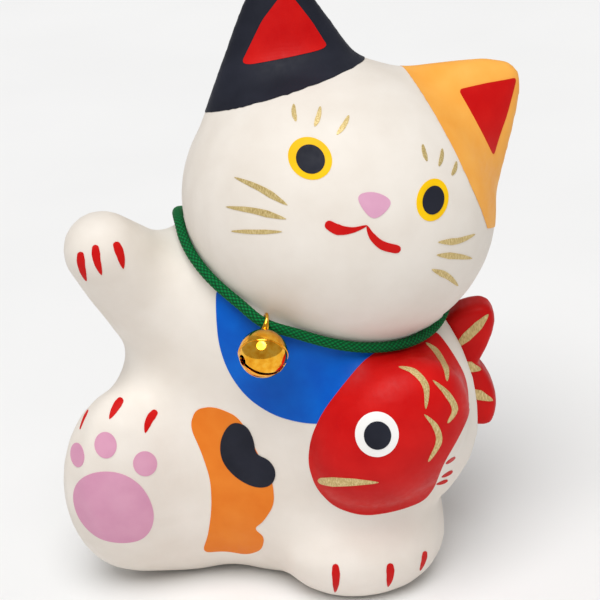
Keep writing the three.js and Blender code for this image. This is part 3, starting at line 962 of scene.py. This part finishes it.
def knot_turns(share):
    """The angles round the ring and round its tube: twice about while three times through."""
    return 2 * math.tau * share, 3 * math.tau * share


def knot_way(share):
    ring, tube = knot_turns(share)
    flat = KNOT_RING * (2 + math.cos(tube)) / 2
    return np.array(knot_centre + knot_axes @ Vector((
        flat * math.cos(ring), flat * math.sin(ring), KNOT_RING * math.sin(tube) / 2)))


def knot_side(share):
    ring, tube = knot_turns(share)
    return np.array(knot_axes @ Vector((
        math.cos(tube) * math.cos(ring), math.cos(tube) * math.sin(ring), math.sin(tube))))


cord_knot = braid("cord_knot_braid", knot_way, knot_side, KNOT_CORD_RADIUS, rings=200)
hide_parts("cord_knot")
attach(cord_knot, "figurine")
report(cord_knot)

# %% [markdown]
# ## The bell
# A jingle bell is two brass cups pressed together. The upper cup laps over the lower one in a
# small step, and the lower one is sawn with a slot that ends in two round holes. Polished
# brass shows every dent, so the cups start from fine spheres, are bisected, and are given
# a wall by Solidify. The slot is cut by a Boolean modifier, and a small bevel breaks its edge.

# %% Polished brass
polished_brass, tree, shader = new_finish("polished_brass", 0.14, metallic=1.0)
tones(tree, noise(tree, 700, detail=4), shader.inputs["Base Color"],
      (0.28, tint(228, 148, 28)), (0.5, tint(250, 180, 50)), (0.72, tint(255, 206, 88)))
vary(tree, noise(tree, 1500, detail=5), shader.inputs["Roughness"], 0.06, 0.15)
relief(tree, shader, 0.12, 0.01, noise(tree, 900, stretch=(1, 1, 6), detail=2))
print("brass is polished")

# %% Bell frame, from its hinge
BELL_RADIUS = 4.8
BELL_WALL = 0.42
joints = {joint["name"]: joint for joint in frame["joints"]}
bell_centre = Vector(joints["pellet_roll"]["pos_m"])
hang_point = Vector(joints["bell_swing"]["pos_m"])
bell_up = (hang_point - bell_centre).normalized()
bell_across = -Vector(joints["bell_swing"]["axis"])
bell_across = (bell_across - bell_across.dot(bell_up) * bell_up).normalized()
bell_place = Matrix.Translation(bell_centre) @ Matrix(
    (bell_across, bell_up.cross(bell_across), bell_up)).transposed().to_4x4()


def hang_on_bell(piece, node):
    """Turns a piece made upright at the origin into the bell's place."""
    piece.matrix_world = bell_place
    pick(piece)
    bpy.ops.object.transform_apply(location=True, rotation=True, scale=True)
    piece.data.materials.append(polished_brass)
    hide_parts(node)
    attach(piece, "bell")
    report(piece)


# %% The two cups
SEAM_HALF_GAP = 0.12
LAP_WIDENING = 1.022
LAP_DEPTH = 0.42
BROKEN_EDGE = 0.05


def cup(name, side):
    """Half a sphere, open at the seam. `side` is 1 for the upper half and -1 for the lower."""
    bpy.ops.object.select_all(action="DESELECT")
    bpy.ops.mesh.primitive_uv_sphere_add(segments=96, ring_count=64, radius=BELL_RADIUS * MM)
    piece = bpy.context.object
    piece.name = name
    bpy.ops.object.mode_set(mode="EDIT")
    bpy.ops.mesh.select_all(action="SELECT")
    bpy.ops.mesh.bisect(plane_co=(0, 0, SEAM_HALF_GAP * side * MM), plane_no=(0, 0, side),
                        clear_inner=True)
    return piece


def break_edges(piece):
    """A fine bevel on the sharp edges, and smooth shading between them."""
    apply_modifier(piece, "BEVEL", width=BROKEN_EDGE * MM, segments=2, limit_method="ANGLE",
                   angle_limit=math.radians(50))
    smooth_up_to(piece, 35)


upper_cup = cup("bell_upper_cup", 1)
bpy.ops.mesh.extrude_region_move()
bpy.ops.transform.resize(value=(LAP_WIDENING, LAP_WIDENING, 1))
bpy.ops.mesh.extrude_region_move(TRANSFORM_OT_translate={"value": (0, 0, -LAP_DEPTH * MM)})
bpy.ops.object.mode_set(mode="OBJECT")
apply_modifier(upper_cup, "SOLIDIFY", thickness=BELL_WALL * MM, offset=-1)
break_edges(upper_cup)
hang_on_bell(upper_cup, "bell_upper_shell")

# %% Slot and round holes of the lower cup
SLOT_WIDTH = 0.8
SAW_HEIGHT = 5.6
HOLE_ANGLE = 1.02
HOLE_RADIUS = 1.1
DRILL_LENGTH = 3
hole_aside, hole_below = BELL_RADIUS * math.sin(HOLE_ANGLE), BELL_RADIUS * math.cos(HOLE_ANGLE)

lower_cup = cup("bell_lower_cup", -1)
bpy.ops.object.mode_set(mode="OBJECT")
apply_modifier(lower_cup, "SOLIDIFY", thickness=BELL_WALL * MM, offset=-1)

bpy.ops.mesh.primitive_cube_add(size=1, location=(0, 0, -BELL_RADIUS * MM))
saw = bpy.context.object
saw.dimensions = (2 * hole_aside * MM, SLOT_WIDTH * MM, SAW_HEIGHT * MM)
cutters = [saw]
for side in (-1, 1):
    bpy.ops.mesh.primitive_cylinder_add(
        vertices=48, radius=HOLE_RADIUS * MM, depth=DRILL_LENGTH * MM,
        location=(side * hole_aside * MM, 0, -hole_below * MM),
        rotation=(0, side * (math.pi - HOLE_ANGLE), 0))
    cutters.append(bpy.context.object)
for cutter in cutters:
    pick(cutter)
    bpy.ops.object.transform_apply(location=True, rotation=True, scale=True)
    apply_modifier(lower_cup, "BOOLEAN", operation="DIFFERENCE", object=cutter, solver="EXACT")
    bpy.data.objects.remove(cutter)
break_edges(lower_cup)
hang_on_bell(lower_cup, "bell_lower_shell")

# %% [markdown]
# The loop is a bent wire, pressed flat where it goes down into the crown. It starts as a
# torus. Its lower half is drawn down into the cup and spread sideways.

# %% Loop of the bell
LOOP_RADIUS = 1.8
WIRE_RADIUS = 0.38
LOOP_REACH = LOOP_RADIUS + WIRE_RADIUS
SPREAD_BELOW, DRAWN_DOWN, NARROWED_ABOVE = 1.5, 0.2, 0.2
loop_height = (hang_point - bell_centre).length

bpy.ops.object.select_all(action="DESELECT")
bpy.ops.mesh.primitive_torus_add(
    major_segments=64, minor_segments=20, major_radius=LOOP_RADIUS * MM,
    minor_radius=WIRE_RADIUS * MM, rotation=(0, math.pi / 2, 0))
bell_loop = bpy.context.object
bell_loop.name = "bell_wire_loop"
bpy.ops.object.transform_apply(location=True, rotation=True, scale=True)
loop_corners = corners_of(bell_loop)
low = np.clip(-loop_corners[:, 2] / (LOOP_REACH * MM), 0, 1)
high = np.clip(loop_corners[:, 2] / (LOOP_REACH * MM), 0, 1)
loop_corners[:, 0] *= (1 + SPREAD_BELOW * low ** 2) * (1 - NARROWED_ABOVE * high)
loop_corners[:, 2] *= 1 + DRAWN_DOWN * low
loop_corners[:, 2] += loop_height
move_corners(bell_loop, loop_corners)
pick(bell_loop)
bpy.ops.object.shade_smooth()
hang_on_bell(bell_loop, "bell_loop")

# %% [markdown]
# The pellet inside the bell hardly shows. The CAD node already has its shape, so it stays and
# only gets a steel surface with rubbed spots.

# %% Steel pellet
rubbed_steel, tree, shader = new_finish("rubbed_steel", 0.35, metallic=1.0)
tones(tree, noise(tree, 1800), shader.inputs["Base Color"],
      (0.35, tint(120, 122, 126)), (0.65, tint(168, 170, 174)))
vary(tree, noise(tree, 2400), shader.inputs["Roughness"], 0.25, 0.5)
relief(tree, shader, 0.3, 0.03, noise(tree, 2000))
pellet = frame["nodes"]["bell_pellet"]
for slot in pellet.material_slots:
    slot.material = rubbed_steel
print("the pellet has its steel surface")
